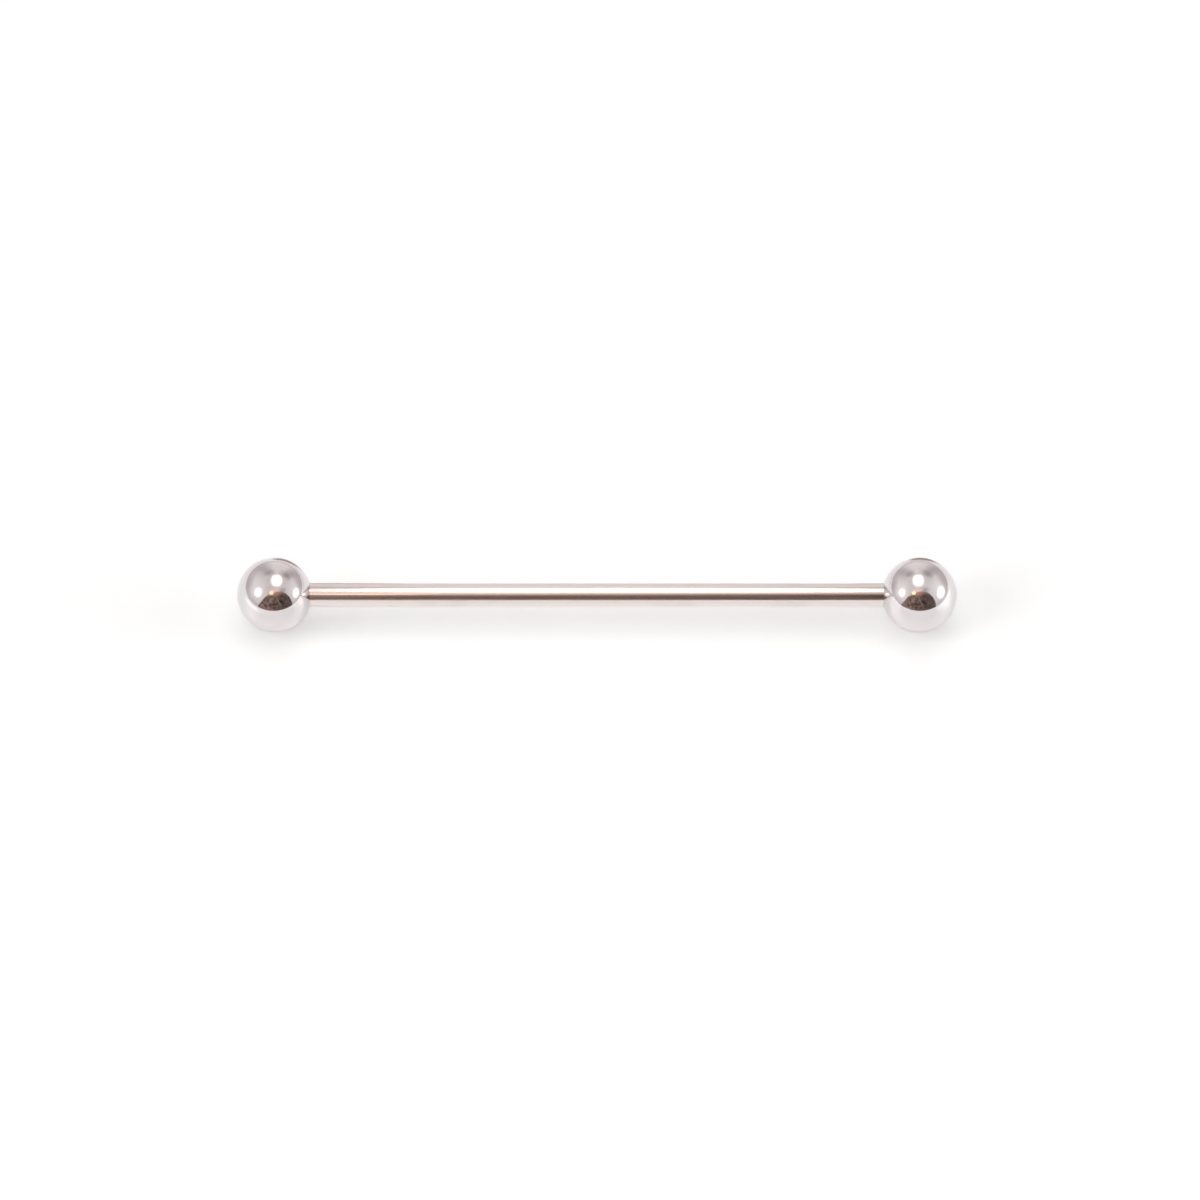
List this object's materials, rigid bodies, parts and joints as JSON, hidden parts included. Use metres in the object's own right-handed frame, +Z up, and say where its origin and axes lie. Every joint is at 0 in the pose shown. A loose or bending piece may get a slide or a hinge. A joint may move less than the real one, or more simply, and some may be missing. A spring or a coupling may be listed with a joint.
{
  "type": "industrial barbell",
  "caption": "Straight round steel bar with a ball screwed on each threaded end, a long body-jewellery barbell that joins two ear piercings.",
  "frame": {"origin": "on the surface it lies on, under the middle of the bar", "axes": "+X along the bar, +Z up; the bar's axis is 2.5 mm above the surface"},
  "size_m": [0.0476, 0.005, 0.005],
  "materials": {
    "bar_steel": "polished surgical steel with fine lengthwise polishing lines",
    "ball_steel": "mirror-polished surgical steel"
  },
  "bodies": {
    "bar": {"bar": "bar_steel"},
    "ball_left": {"ball_left": "ball_steel"},
    "ball_right": {"ball_right": "ball_steel"}
  },
  "joints": [
    {"name": "ball_left_off", "type": "slide", "parent": "bar", "child": "ball_left", "axis": [-1, 0, 0], "range_m": [0, 0.01]},
    {"name": "ball_right_off", "type": "slide", "parent": "bar", "child": "ball_right", "axis": [1, 0, 0], "range_m": [0, 0.01]}
  ]
}
